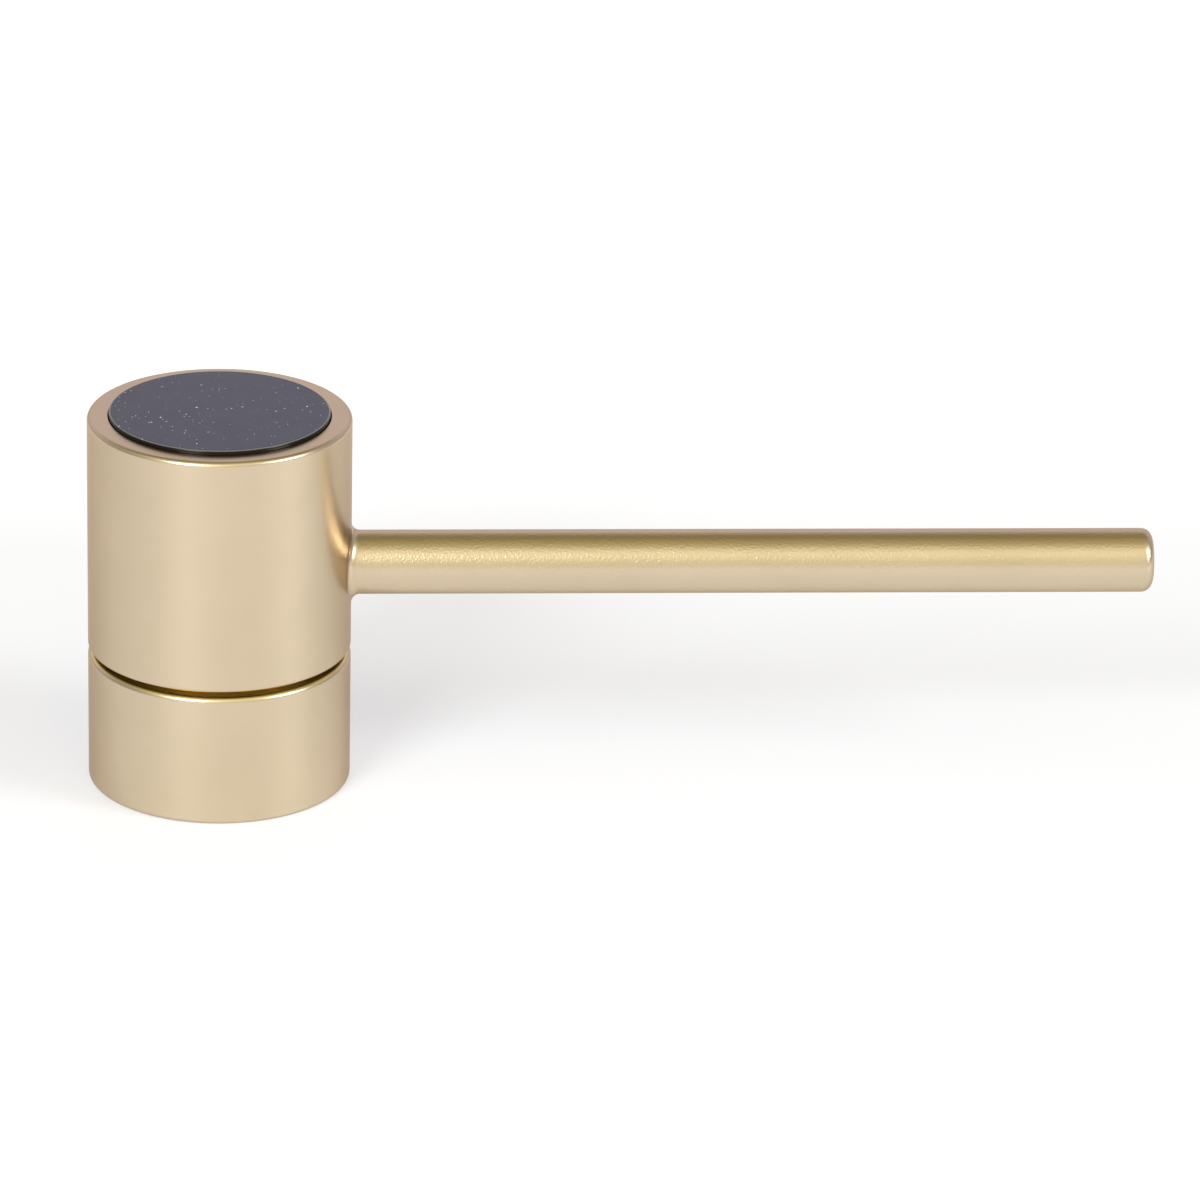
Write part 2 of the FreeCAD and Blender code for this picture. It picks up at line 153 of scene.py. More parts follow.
thread_pitch = 1.5 * MM
thread_depth = 0.72 * MM
thread_chamfer = 0.5 * MM
thread_run_out = 0.6 * MM    # over this length the thread fades out below the shoulder
thread_land = 0.14           # share of the pitch that is flat crest
thread_flank = 0.66          # share of the pitch that is flank

hub_bore = 15.35 * MM
web_bottom = 46.55 * MM
recess_floor = 50.05 * MM
recess_radius = inlay_radius + 0.1 * MM
boss_radius = 9.0 * MM
boss_bottom = 27.35 * MM
pocket_radius = 7.0 * MM
pocket_top = 39.15 * MM
head_room = 4.5 * MM
head_room_top = 43.5 * MM
grub_hole = 2.5 * MM
grub_hole_depth = 1.9 * MM

neck_fillet = 1.3 * MM
tip_fillet = 1.5 * MM
root_edge = 0.005 * MM       # outer edge of the lever's root, which meets the neck
tapping_edge = 0.01 * MM
tapping_radius = 2.5 * MM
tapping_depth = 8.5 * MM
neck_hole_depth = 2.0 * MM
inlay_rounding = 0.35 * MM
highlight_line_drop = 0.080 * MM      # from the stone's face down to the middle of its painted highlight line
highlight_line_reach = 0.078 * MM
plug_edge = 0.18 * MM

# ---------------------------------------------------------------- facets

columns = 288                # round the drum
rod_columns = 160
plug_columns = 64
plug_face_steps = 5
arc_steps = 6                # across a rounding
neck_steps = 12              # across the neck's fillet
grub_edge_steps = 4
thread_rows = 56
chamfer_rows = 8
wall_step = 0.6 * MM         # height of the wall's rows beside the lever
lever_rows = (2, 26)         # first and last row of the window round the lever
lever_half_columns = 18
rows_above_lever = 4
grub_half_rows = 6
grub_half_columns = 8
rear_column = columns // 4
spoke_shares = (0.25, 0.5, 0.75)


# ---------------------------------------------------------------- mesh tools

def side_normal(start, end):
    """Unit normal on the right of the way from start to end."""
    way = (end - start) / np.linalg.norm(end - start)
    return np.array([way[1], -way[0]])


def rounded_corner(before, corner, after, rounding):
    """Points and normals of the arc that replaces a corner between two others."""
    normal_in = side_normal(before, corner)
    normal_out = side_normal(corner, after)
    way_in = np.array([-normal_in[1], normal_in[0]])
    cross = normal_in[0] * normal_out[1] - normal_in[1] * normal_out[0]
    turn = math.atan2(cross, float(normal_in @ normal_out))
    outward = 1.0 if turn > 0 else -1.0
    start = corner - way_in * rounding * math.tan(abs(turn) / 2)
    centre = start - normal_in * rounding * outward
    first_angle = math.atan2(normal_in[1], normal_in[0])
    arc = []
    for step in range(arc_steps + 1):
        angle = first_angle + turn * step / arc_steps
        normal = np.array([math.cos(angle), math.sin(angle)])
        arc.append((centre + normal * rounding * outward, normal))
    return arc


def rounded_profile(corners):
    """Points and normals along a line of corners (radius, height, rounding).

    The material is on the line's left. The first and last corner stay as they are.
    """
    spots = [np.array(corner[:2]) for corner in corners]
    profile = [(spots[0], side_normal(spots[0], spots[1]))]
    for i in range(1, len(corners) - 1):
        profile += rounded_corner(spots[i - 1], spots[i], spots[i + 1], corners[i][2])
    profile.append((spots[-1], side_normal(spots[-2], spots[-1])))
    return profile


class Surface:
    """Vertices, exact normals and faces of a piece, gathered part by part."""

    def __init__(self):
        self.points = []
        self.normals = []
        self.faces = []

    def add(self, point, normal):
        """Adds a vertex and returns its number."""
        self.points.append(tuple(point))
        self.normals.append(tuple(normal))
        return len(self.points) - 1

    def bridge(self, first, second):
        """Quads between two closed rings of vertex numbers. Equal numbers in a ring make it a pole."""
        for j in range(len(first)):
            k = (j + 1) % len(first)
            face = []
            for vertex in (first[j], first[k], second[k], second[j]):
                if vertex not in face:
                    face.append(vertex)
            if len(face) > 2:
                self.faces.append(face)

    def chain(self, rings):
        """Bridges each ring to the next."""
        for first, second in zip(rings, rings[1:]):
            self.bridge(first, second)

    def ring(self, radius, height, normal, segments=columns):
        """A ring about Z. On the axis it is one pole."""
        if radius == 0:
            return [self.add((0, 0, height), (0, 0, normal[1]))] * segments
        made = []
        for j in range(segments):
            angle = FULL_TURN * j / segments
            x, y = math.cos(angle), math.sin(angle)
            point = (radius * x, radius * y, height)
            made.append(self.add(point, (normal[0] * x, normal[0] * y, normal[1])))
        return made

    def lathe(self, profile, segments=columns):
        """Rings along a profile, bridged. Returns the rings."""
        rings = [self.ring(point[0], point[1], normal, segments) for point, normal in profile]
        self.chain(rings)
        return rings

    def piece(self, name, body, slot, *nodes):
        """Makes the object, which rides on a body and stands for CAD nodes."""
        mesh = bpy.data.meshes.new(name)
        mesh.from_pydata(self.points, [], self.faces)
        mesh.polygons.foreach_set("use_smooth", [True] * len(self.faces))
        mesh.normals_split_custom_set_from_vertices(self.normals)
        made = bpy.data.objects.new(name, mesh)
        bpy.context.scene.collection.objects.link(made)
        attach(made, body)
        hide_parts(*nodes)
        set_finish(made, slot)
        return made


def along_x(surface, level):
    """Turns a surface made about Z so that it runs along +X at a level."""
    surface.points = [(z, x, y + level) for x, y, z in surface.points]
    surface.normals = [(z, x, y) for x, y, z in surface.normals]


def between(first, second, share):
    """Direction a share of the way from one unit direction to another."""
    angle = math.acos(max(-1.0, min(1.0, float(first @ second))))
    mixed = first * math.sin((1 - share) * angle) + second * math.sin(share * angle)
    return mixed / math.sin(angle)


def turned(vector, angle):
    """A vector turned about Z."""
    x, y = math.cos(angle), math.sin(angle)
    return (vector[0] * x - vector[1] * y, vector[0] * y + vector[1] * x, vector[2])


# ---------------------------------------------------------------- collar

def thread_cut(share):
    """Depth of the thread, 0 at its crest and 1 at its root, at a share of its pitch."""
    across = abs(share % 1.0 - 0.5) * 2
    flank = min(1.0, max(0.0, (across - thread_land) / thread_flank))
    return flank * flank * (3 - 2 * flank)


def thread_wall(angle, height):
    """Radius of the threaded neck bore at an angle and height."""
    fade = min(1.0, max(0.0, (shoulder_bottom - thread_chamfer - height) / thread_run_out))
    cut = thread_depth * fade * thread_cut(height / thread_pitch - angle / FULL_TURN)
    return max(thread_crest + cut, thread_crest + max(0.0, thread_chamfer - height))


def thread_normal(angle, height, radius):
    """Unit normal of the threaded wall, into the bore."""
    rise = 0.01 * MM
    swing = 0.001            # radians
    climb = thread_wall(angle, height + rise) - thread_wall(angle, height - rise)
    spin = thread_wall(angle + swing, height) - thread_wall(angle - swing, height)
    slope_up = climb / (2 * rise)
    slope_round = spin / (2 * swing * radius)
    x, y = math.cos(angle), math.sin(angle)
    normal = np.array([-x - slope_round * y, -y + slope_round * x, slope_up])
    return normal / np.linalg.norm(normal)


def thread_rings(surface):
    """Rings of the neck bore from its top down to its chamfered mouth, with a helical thread in it."""
    levels = list(np.linspace(shoulder_bottom, thread_chamfer, thread_rows))
    levels += list(np.linspace(thread_chamfer, 0.0, chamfer_rows))[1:]
    made = []
    for height in levels:
        row = []
        for j in range(columns):
            angle = FULL_TURN * j / columns
            radius = thread_wall(angle, height)
            point = (radius * math.cos(angle), radius * math.sin(angle), height)
            row.append(surface.add(point, thread_normal(angle, height, radius)))
        made.append(row)
    return made


def make_collar():
    """Collar: rounded outside, a real thread in its neck bore and a groove for the gasket."""
    surface = Surface()
    corners = [(thread_crest + thread_chamfer, 0.0, 0), (groove_inner, 0.0, sharp),
               (groove_inner, groove_top, sharp), (groove_outer, groove_top, sharp),
               (groove_outer, 0.0, sharp), (drum_radius, 0.0, foot_radius),
               (drum_radius, collar_top, collar_edge_radius), (collar_bore, collar_top, collar_bore_edge),
               (collar_bore, shoulder_top, sharp), (shoulder_hole, shoulder_top, sharp),
               (shoulder_hole, shoulder_bottom, sharp), (thread_crest, shoulder_bottom, 0)]
    rings = surface.lathe(rounded_profile(corners))
    surface.chain([rings[-1]] + thread_rings(surface) + [rings[0]])
    return surface.piece("collar", "base", "champagne_metal", "base_collar")


# ---------------------------------------------------------------- hub

def window_border(heights, rows, half_columns):
    """Bearing, row and column of the vertices round a window in the wall, in order of bearing.

    Columns count from the window's middle one.
    """
    middle = (heights[rows[0]] + heights[rows[1]]) / 2
    border = []
    for row in range(rows[0], rows[1] + 1):
        for column in range(-half_columns, half_columns + 1):
            if row in rows or abs(column) == half_columns:
                across = drum_radius * math.sin(FULL_TURN * column / columns)
                border.append((math.atan2(heights[row] - middle, across), row, column))
    return sorted(border)


def fill_window(surface, heights, wall, rows, middle_column, half_columns, branch_at):
    """Fills a window in the drum's wall with rings that lead to a branch.

    heights are the wall's levels, wall its rings of vertex numbers, and rows the window's first and last
    row. branch_at gives, for a bearing round the branch, points and normals from the drum's surface inwards.
    """
    middle_angle = FULL_TURN * middle_column / columns
    spokes = []
    for bearing, row, column in window_border(heights, rows, half_columns):
        branch = branch_at(bearing)
        foot = branch[0][0]
        offset = FULL_TURN * column / columns
        foot_offset = math.asin(foot[1] / drum_radius)
        spoke = [wall[row][(middle_column + column) % columns]]
        for share in spoke_shares:
            angle = middle_angle + offset + (foot_offset - offset) * share
            height = heights[row] + (foot[2] - heights[row]) * share
            x, y = math.cos(angle), math.sin(angle)
            spoke.append(surface.add((drum_radius * x, drum_radius * y, height), (x, y, 0)))
        for point, normal in branch:
            spoke.append(surface.add(turned(point, middle_angle), turned(normal, middle_angle)))
        spokes.append(spoke)
    surface.chain(list(zip(*spokes)))


def neck_rings(bearing):
    """Rolling-ball fillet from the drum to the lever's neck, then the neck and its hidden seat."""
    across, up = math.cos(bearing), math.sin(bearing)
    ball_y = (lever_radius + neck_fillet) * across
    ball_z = (lever_radius + neck_fillet) * up
    ball_x = math.sqrt((drum_radius + neck_fillet) ** 2 - ball_y ** 2)
    ball = np.array([ball_x, ball_y, lever_level + ball_z])
    to_drum = -np.array([ball_x, ball_y, 0.0]) / (drum_radius + neck_fillet)
    to_neck = np.array([0.0, -across, -up])
    rings = []
    for step in range(neck_steps + 1):
        way = between(to_drum, to_neck, step / neck_steps)
        rings.append((ball + way * neck_fillet, -way))
    hole_end = drum_radius - neck_hole_depth
    seat = [(lever_seat, lever_radius, -to_neck), (lever_seat, lever_radius, X_WAY),
            (lever_seat, tapping_radius, X_WAY), (lever_seat, tapping_radius, to_neck),
            (hole_end, tapping_radius, to_neck), (hole_end, 0.0, X_WAY)]
    for x, radius, normal in seat:
        rings.append((np.array([x, radius * across, lever_level + radius * up]), normal))
    return rings


def grub_rings(bearing):
    """Small rounded mouth of the grub screw's hole, its wall and its end."""
    across, up = math.cos(bearing), math.sin(bearing)
    rings = []
    for step in range(grub_edge_steps + 1):
        angle = math.pi / 2 * step / grub_edge_steps
        radius = grub_hole + sharp - sharp * math.sin(angle)
        y = radius * across
        x = math.sqrt(drum_radius ** 2 - y * y) - sharp * (1 - math.cos(angle))
        normal = np.array([math.cos(angle), y / drum_radius * math.cos(angle) - across * math.sin(angle),
                           -up * math.sin(angle)])
        rings.append((np.array([x, y, grub_level + radius * up]), normal / np.linalg.norm(normal)))
    hole_end = drum_radius - grub_hole_depth
    rings.append((np.array([hole_end, grub_hole * across, grub_level + grub_hole * up]),
                  np.array([0.0, -across, -up])))
    rings.append((np.array([hole_end, 0.0, grub_level]), X_WAY))
    return rings


def hub_profile():
    """Points and normals of the hub, from the ceiling inside its boss, round its outside, to the recess."""
    corners = [(0, head_room_top, 0), (head_room, head_room_top, sharp), (head_room, pocket_top, sharp),
               (pocket_radius, pocket_top, sharp), (pocket_radius, boss_bottom, sharp),
               (boss_radius, boss_bottom, sharp), (boss_radius, web_bottom, sharp),
               (hub_bore, web_bottom, sharp), (hub_bore, hub_base, sharp),
               (drum_radius, hub_base, hub_edge_radius),
               (drum_radius, hub_top, rim_radius), (recess_radius, hub_top, sharp),
               (recess_radius, recess_floor, sharp), (0, recess_floor, 0)]
    return rounded_profile(corners)


def wall_heights(low, high):
    """Levels of the rings on the hub's wall, evenly spaced beside the lever."""
    first_row, last_row = lever_rows
    first = lever_level - (last_row - first_row) / 2 * wall_step
    heights = [low, low + (first - low) / 2]
    heights += [first + wall_step * row for row in range(last_row - first_row + 1)]
    return heights + list(np.linspace(heights[-1], high, rows_above_lever + 1))[1:]


def in_window(row, column, rows, half_columns):
    """Whether the quad at a row and at a column from the window's middle one lies in a window."""
    return rows[0] <= row < rows[1] and -half_columns <= column < half_columns


def build_wall(surface, wall, grub_rows):
    """Quads of the hub's wall, left out in the windows of the lever and of the grub screw."""
    for row in range(len(wall) - 1):
        for j in range(columns):
            k = (j + 1) % columns
            column = (j + columns // 2) % columns - columns // 2
            if in_window(row, column, lever_rows, lever_half_columns):
                continue
            if not in_window(row, j - rear_column, grub_rows, grub_half_columns):
                surface.faces.append([wall[row][j], wall[row][k], wall[row + 1][k], wall[row + 1][j]])


def make_hub():
    """Hub: rounded drum with its recess, the lever's filleted neck and the grub screw's hole."""
    surface = Surface()
    profile = hub_profile()
    start = [math.isclose(point[0], drum_radius) for point, normal in profile].index(True)
    heights = wall_heights(profile[start][0][1], profile[start + 1][0][1])
    inside = [surface.ring(point[0], point[1], normal) for point, normal in profile[:start]]
    wall = [surface.ring(drum_radius, height, (1.0, 0.0)) for height in heights]
    top = [surface.ring(point[0], point[1], normal) for point, normal in profile[start + 2:]]
    surface.chain(inside + wall[:1])
    surface.chain(wall[-1:] + top)
    grub_row = min(range(len(heights)), key=lambda row: abs(heights[row] - grub_level))
    grub_rows = (grub_row - grub_half_rows, grub_row + grub_half_rows)
    build_wall(surface, wall, grub_rows)
    fill_window(surface, heights, wall, lever_rows, 0, lever_half_columns, neck_rings)
    fill_window(surface, heights, wall, grub_rows, rear_column, grub_half_columns, grub_rings)
    return surface.piece("hub", "lever", "champagne_metal", "lever_hub")


# ---------------------------------------------------------------- lever, stone and plug

def make_rod():
    """Lever: a round bar with a rounded tip and a tapped root."""
    surface = Surface()
    tapping_end = lever_seat + tapping_depth
    corners = [(0, tapping_end, 0), (tapping_radius, tapping_end, sharp),
               (tapping_radius, lever_seat, tapping_edge), (lever_radius, lever_seat, root_edge),
               (lever_radius, lever_tip, tip_fillet), (0, lever_tip, 0)]
    surface.lathe(rounded_profile(corners), rod_columns)
    along_x(surface, lever_level)
    return surface.piece("rod", "lever", "champagne_metal", "lever_rod")


def make_stone():
    """Stone disc with a rounded top edge."""
    surface = Surface()
    corners = [(0, inlay_low.z, 0), (inlay_radius, inlay_low.z, sharp),
               (inlay_radius, inlay_top, inlay_rounding), (0, inlay_top, 0)]
    surface.lathe(rounded_profile(corners))
    return surface.piece("stone", "lever", "inlay_stone", "inlay_disc")


def plug_ring(surface, radius, angle):
    """Ring on the plug's face, which follows the drum, or an angle down its rounded edge."""
    reach = radius + plug_edge * math.sin(angle)
    sunk = plug_edge * (1 - math.cos(angle))
    row = []
    for j in range(plug_columns):
        turn = FULL_TURN * j / plug_columns
        x, z = -reach * math.cos(turn), reach * math.sin(turn)
        lean = x / plug_high.y * math.cos(angle)
        normal = np.array([lean - math.cos(turn) * math.sin(angle), math.cos(angle),
                           math.sin(turn) * math.sin(angle)])
        normal /= np.linalg.norm(normal)
        row.append(surface.add((x, math.sqrt(plug_high.y ** 2 - x * x) - sunk, grub_level + z), normal))
    return row


def make_plug():
    """Cap of the grub screw's hole, its face a little domed to follow the drum."""
    surface = Surface()
    radius = plug_high.x
    back = plug_low.y
    rings = [[surface.add((0, plug_high.y, grub_level), (0, 1, 0))] * plug_columns]
    for step in range(1, plug_face_steps + 1):
        rings.append(plug_ring(surface, (radius - plug_edge) * step / plug_face_steps, 0.0))
    for step in range(1, arc_steps + 1):
        rings.append(plug_ring(surface, radius - plug_edge, math.pi / 2 * step / arc_steps))
    rear = []
    for j in range(plug_columns):
        turn = FULL_TURN * j / plug_columns
        x, z = -math.cos(turn), math.sin(turn)
        rear.append(surface.add((radius * x, back, grub_level + radius * z), (x, 0, z)))
    rings.append(rear)
    rings.append([surface.add((0, back, grub_level), (0, -1, 0))] * plug_columns)
    surface.chain(rings[::-1])
    return surface.piece("rear_plug", "lever", "plug_plastic", "grub_plug")


# ---------------------------------------------------------------- materials

class Nodes:
    """Short way to build a node tree round one principled shader."""

    def __init__(self, name):
        self.material = bpy.data.materials.new(name)
        self.material.use_nodes = True
        self.tree = self.material.node_tree
        self.tree.nodes.clear()
        self.shader = self.add("BsdfPrincipled")
        self.link(self.shader.outputs[0], self.add("OutputMaterial").inputs["Surface"])

    def add(self, kind, **settings):
        """Adds a node of a kind."""
        node = self.tree.nodes.new("ShaderNode" + kind)
        for key, value in settings.items():
            setattr(node, key, value)
        return node

    def link(self, source, target):
        """Links two sockets."""
        self.tree.links.new(source, target)

    def fix(self, name, value):
        """Sets a constant on the shader."""
        self.shader.inputs[name].default_value = value

    def drive(self, name, source):
        """Links a socket to the shader."""
        self.link(source, self.shader.inputs[name])

    def place(self):
        """Object coordinates."""
        return self.add("TexCoord").outputs["Object"]

    def axes(self):
        """Object coordinates, one socket per axis."""
        split = self.add("SeparateXYZ")
        self.link(self.place(), split.inputs[0])
        return split.outputs

    def noise(self, scale, detail=2.0, roughness=0.5):
        """Noise in object space, scale in waves per metre."""
        node = self.add("TexNoise")
        node.inputs["Scale"].default_value = scale
        node.inputs["Detail"].default_value = detail
        node.inputs["Roughness"].default_value = roughness
        self.link(self.place(), node.inputs["Vector"])
        return node.outputs["Fac"]

    def cloud(self, scale, detail=2.0, roughness=0.5, low=0.0, high=1.0, start=0.3, end=0.7):
        """Noise stretched to a range."""
        return self.spread(self.noise(scale, detail, roughness), low, high, start, end)

    def spread(self, source, low, high, start=0.0, end=1.0):
        """Maps a value from the range start to end on the range low to high, clamped."""
        node = self.add("MapRange")
        node.inputs["From Min"].default_value = start
        node.inputs["From Max"].default_value = end
        node.inputs["To Min"].default_value = low
        node.inputs["To Max"].default_value = high
        self.link(source, node.inputs["Value"])
        return node.outputs["Result"]

    def blend(self, share, low, high):
        """Colour between two colours or sockets."""
        node = self.add("Mix", data_type="RGBA")
        self.link(share, node.inputs[0])
        for socket, value in ((node.inputs[6], low), (node.inputs[7], high)):
            if isinstance(value, tuple):
                socket.default_value = value + (1.0,)
            else:
                self.link(value, socket)
        return node.outputs[2]

    def maths(self, operation, first, second=None):
        """Result of a maths operation on sockets or numbers."""
        node = self.add("Math", operation=operation)
        for socket, value in zip(node.inputs, (first, second)):
            if isinstance(value, float):
                socket.default_value = value
            elif value is not None:
                self.link(value, socket)
        return node.outputs[0]

    def near(self, value, place, reach):
        """Share that is 1 where a value is at a place and falls to 0 at a reach from it."""
        offset = self.maths("ABSOLUTE", self.maths("SUBTRACT", value, place))
        return self.spread(offset, 1.0, 0.0, reach * 0.5, reach)

    def bump(self, height, distance):
        """Normal of a surface that a height between 0 and 1 lifts by up to a distance."""
        node = self.add("Bump")
        node.inputs["Distance"].default_value = distance
        self.link(height, node.inputs["Height"])
        return node.outputs["Normal"]


ledge_shade_deep_radius = 15.8 * MM      # the painted shade on the gap's ledge lightens into painted bounce light from here outwards
ledge_shade_open_radius = 17.1 * MM
gap_shade_lip_height = 0.35 * MM       # the painted shades of the ledge and of the hub's underside each hold this far into the gap
gap_shade_reach = 0.75 * MM        # the gap's painted shade and painted bounce light end this far above and below its middle


def gold_coat_and_gap_shade(nodes):
    """Colour of the champagne gold coating, a little cloudy, with painted shade and painted yellow bounce
    light in the shadow gap.
    """
    dull_coat, clear_coat = (0.605, 0.500, 0.355), (0.635, 0.525, 0.376)
    # painted shade deep in the gap and painted bounce light nearer its mouth on the collar's ledge; painted
    # shade on the hub's underside
    ledge_painted_deep_shade, ledge_painted_bounce_light = (0.400, 0.290, 0.030), (0.840, 0.730, 0.310)
    ceiling_painted_shade = (0.400, 0.300, 0.050)
    x, y, z = nodes.axes()
    coat = nodes.blend(nodes.cloud(95.0, detail=3.0, roughness=0.6), dull_coat, clear_coat)
    x_squared = nodes.maths("MULTIPLY", x, x)
    y_squared = nodes.maths("MULTIPLY", y, y)
    radius = nodes.maths("SQRT", nodes.maths("ADD", x_squared, y_squared))
    # painted shade and bounce light in the shadow gap, laid on by radius and by height
    outer = nodes.spread(radius, 0.0, 1.0, start=ledge_shade_deep_radius, end=ledge_shade_open_radius)
    painted_ledge_shading = nodes.blend(outer, ledge_painted_deep_shade, ledge_painted_bounce_light)
    gap_shade_height_share = nodes.spread(z, 0.0, 1.0, start=collar_top + gap_shade_lip_height, end=hub_base - gap_shade_lip_height)
    gap_shade_share = nodes.near(z, (collar_top + hub_base) / 2, gap_shade_reach)
    return nodes.blend(gap_shade_share, coat, nodes.blend(gap_shade_height_share, painted_ledge_shading, ceiling_painted_shade))


def satin_gold(name, grain_scale, grain_height):
    """Champagne gold coating over fine blasted brass, with a grain in waves per metre and metres."""
    nodes = Nodes(name)
    nodes.fix("Metallic", 1.0)
    nodes.fix("Specular Tint", (0.66, 0.57, 0.52, 1.0))
    nodes.drive("Base Color", gold_coat_and_gap_shade(nodes))
    nodes.drive("Roughness", nodes.cloud(38.0, detail=4.0, roughness=0.6, low=0.277, high=0.301))
    nodes.drive("Normal", nodes.bump(nodes.noise(grain_scale, detail=1.0), grain_height))
    return nodes.material


def flakes(nodes, scale, share, size):
    """Mask of scattered round flakes on a level face, and a random value of each."""
    cells = nodes.add("TexVoronoi", voronoi_dimensions="2D")
    cells.inputs["Scale"].default_value = scale
    nodes.link(nodes.place(), cells.inputs["Vector"])
    split = nodes.add("SeparateColor")
    nodes.link(cells.outputs["Color"], split.inputs[0])
    shine_chance, size_chance, hue_chance = split.outputs
    reach = nodes.spread(size_chance, size * smallest_flake, size)
    inside = nodes.maths("LESS_THAN", cells.outputs["Distance"], reach)
    shine = nodes.spread(shine_chance, 0.0, 1.0, start=1.0 - share)
    return nodes.maths("MULTIPLY", inside, nodes.maths("POWER", shine, flake_contrast)), hue_chance


smallest_flake = 0.45        # share of the largest one's radius
flake_contrast = 1.6         # above 1, most flakes are dull and a few are bright
teal_start = 0.93            # flakes whose random value is above this are teal
flake_layers = (             # cells per metre, share of them with a flake, flake radius in cells
    (650.0, 0.07, 0.14),
    (1250.0, 0.055, 0.19),
    (2200.0, 0.045, 0.25),
)


def black_stone():
    """Polished black stone with mica flakes, a few of them teal, and a painted highlight: a paler line round
    its top edge.
    """
    dark_ground, light_ground = (0.006, 0.006, 0.016), (0.010, 0.011, 0.025)
    side, edge_painted_highlight = (0.010, 0.007, 0.006), (0.140, 0.138, 0.150)
    silver, teal = (0.90, 0.90, 0.94), (0.10, 0.62, 0.40)
    nodes = Nodes("black_stone")
    height = nodes.axes()[2]
    ground = nodes.blend(nodes.cloud(300.0, detail=3.0, start=0.35, end=0.65), dark_ground, light_ground)
    face = nodes.spread(height, 0.0, 1.0, start=inlay_top - 0.12 * MM, end=inlay_top - 0.02 * MM)
    # painted highlight: a paler line just below the stone's face, round its top edge
    edge = nodes.near(height, inlay_top - highlight_line_drop, highlight_line_reach)
    colour = nodes.blend(edge, nodes.blend(face, side, ground), edge_painted_highlight)
    shown = nodes.maths("MULTIPLY", face, nodes.cloud(110.0, low=0.25, start=0.42, end=0.58))
    for scale, share, size in flake_layers:
        mask, hue = flakes(nodes, scale, share, size)
        flake = nodes.blend(nodes.maths("GREATER_THAN", hue, teal_start), silver, teal)
        colour = nodes.blend(nodes.maths("MULTIPLY", mask, shown), colour, flake)
    nodes.fix("IOR", 1.29)
    nodes.drive("Base Color", colour)
    nodes.drive("Roughness", nodes.cloud(120.0, detail=3.0, low=0.12, high=0.18))
    nodes.drive("Normal", nodes.bump(nodes.noise(1500.0), distance=0.0012 * MM))
    return nodes.material


def plain(name, colour, colour_high, roughness, metallic=0.0, ior=1.5):
    """Material with fine grain, a little colour change and uneven gloss."""
    grain = 900.0            # waves per metre
    unevenness = 0.05
    nodes = Nodes(name)
    nodes.fix("Metallic", metallic)
    nodes.fix("IOR", ior)
    gloss = nodes.cloud(grain / 4, detail=3.0, low=roughness - unevenness, high=roughness + unevenness)
    nodes.drive("Base Color", nodes.blend(nodes.cloud(grain / 8), colour, colour_high))
    nodes.drive("Roughness", gloss)
    nodes.drive("Normal", nodes.bump(nodes.noise(grain), distance=0.006 * MM))
    return nodes.material


def raw_brass():
    """Bare turned brass of the spindle, nut and rings."""
    return plain("raw_brass", (0.72, 0.52, 0.24), (0.78, 0.58, 0.30), 0.34, metallic=1.0)


def steel():
    """Stainless steel of the screws, stud and circlip."""
    return plain("steel", (0.56, 0.56, 0.58), (0.64, 0.64, 0.66), 0.34, metallic=1.0)


def cartridge_plastic():
    """Pale grey moulded plastic of the cartridge."""
    return plain("cartridge_plastic", (0.74, 0.74, 0.72), (0.80, 0.80, 0.78), 0.45)


def guide_plastic():
    """Natural acetal of the spline adapter."""
    return plain("guide_plastic", (0.80, 0.79, 0.74), (0.86, 0.85, 0.81), 0.42)


def plug_plastic():
    """Gold painted plastic of the rear plug."""
    return plain("plug_plastic", (0.60, 0.47, 0.28), (0.66, 0.52, 0.33), 0.40, metallic=0.6)


def ceramic():
    """Lapped white ceramic of the discs."""
    return plain("ceramic", (0.86, 0.85, 0.81), (0.90, 0.89, 0.86), 0.15, ior=1.76)


def rubber():
    """Black rubber of the seals."""
    return plain("rubber", (0.018, 0.018, 0.019), (0.032, 0.032, 0.033), 0.62)


def adhesive():
    """Cured grey adhesive under the stone."""
    return plain("adhesive", (0.40, 0.40, 0.37), (0.46, 0.46, 0.43), 0.35)


def dress(collar, hub, rod, stone, plug):
    """Gives every piece and every CAD node its material, by the record's material slots."""
    looks = {
        "champagne_metal": satin_gold("satin_gold", grain_scale=5200.0, grain_height=0.008 * MM),
        "inlay_stone": black_stone(),
        "raw_brass": raw_brass(),
        "steel": steel(),
        "cartridge_plastic": cartridge_plastic(),
        "guide_plastic": guide_plastic(),
        "plug_plastic": plug_plastic(),
        "ceramic": ceramic(),
        "rubber": rubber(),
        "adhesive": adhesive(),
    }
    for piece in (collar, hub, stone, plug):
        piece.data.materials.append(looks[piece["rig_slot"]])
    rod_gold = satin_gold("satin_gold_grained", grain_scale=3000.0, grain_height=0.042 * MM)
    rod.data.materials.append(rod_gold)
    for row in frame["record"]["subparts"]:
        for slot in frame["nodes"][row["node"]].material_slots:
            slot.material = looks[row["material_slot"]]


# ---------------------------------------------------------------- floor and light

def floor_look():
    """Pale floor that glows a little, so that shadows on it stay soft."""
    glow_ahead, glow_beside, glow_behind = (0.42, 0.42, 0.50), (0.34, 0.355, 0.41), (0.66, 0.66, 0.74)
    nodes = Nodes("floor")
    depth = nodes.axes()[1]
    beside = nodes.spread(depth, 0.0, 1.0, start=-0.07, end=0.0)
    behind = nodes.spread(depth, 0.0, 1.0, start=0.08, end=0.20)
    glow = nodes.blend(behind, nodes.blend(beside, glow_ahead, glow_beside), glow_behind)
    nodes.fix("Base Color", (0.56, 0.56, 0.56, 1.0))
    nodes.fix("Roughness", 0.55)
    nodes.fix("Emission Strength", 1.0)
    nodes.drive("Emission Color", glow)
    return nodes.material


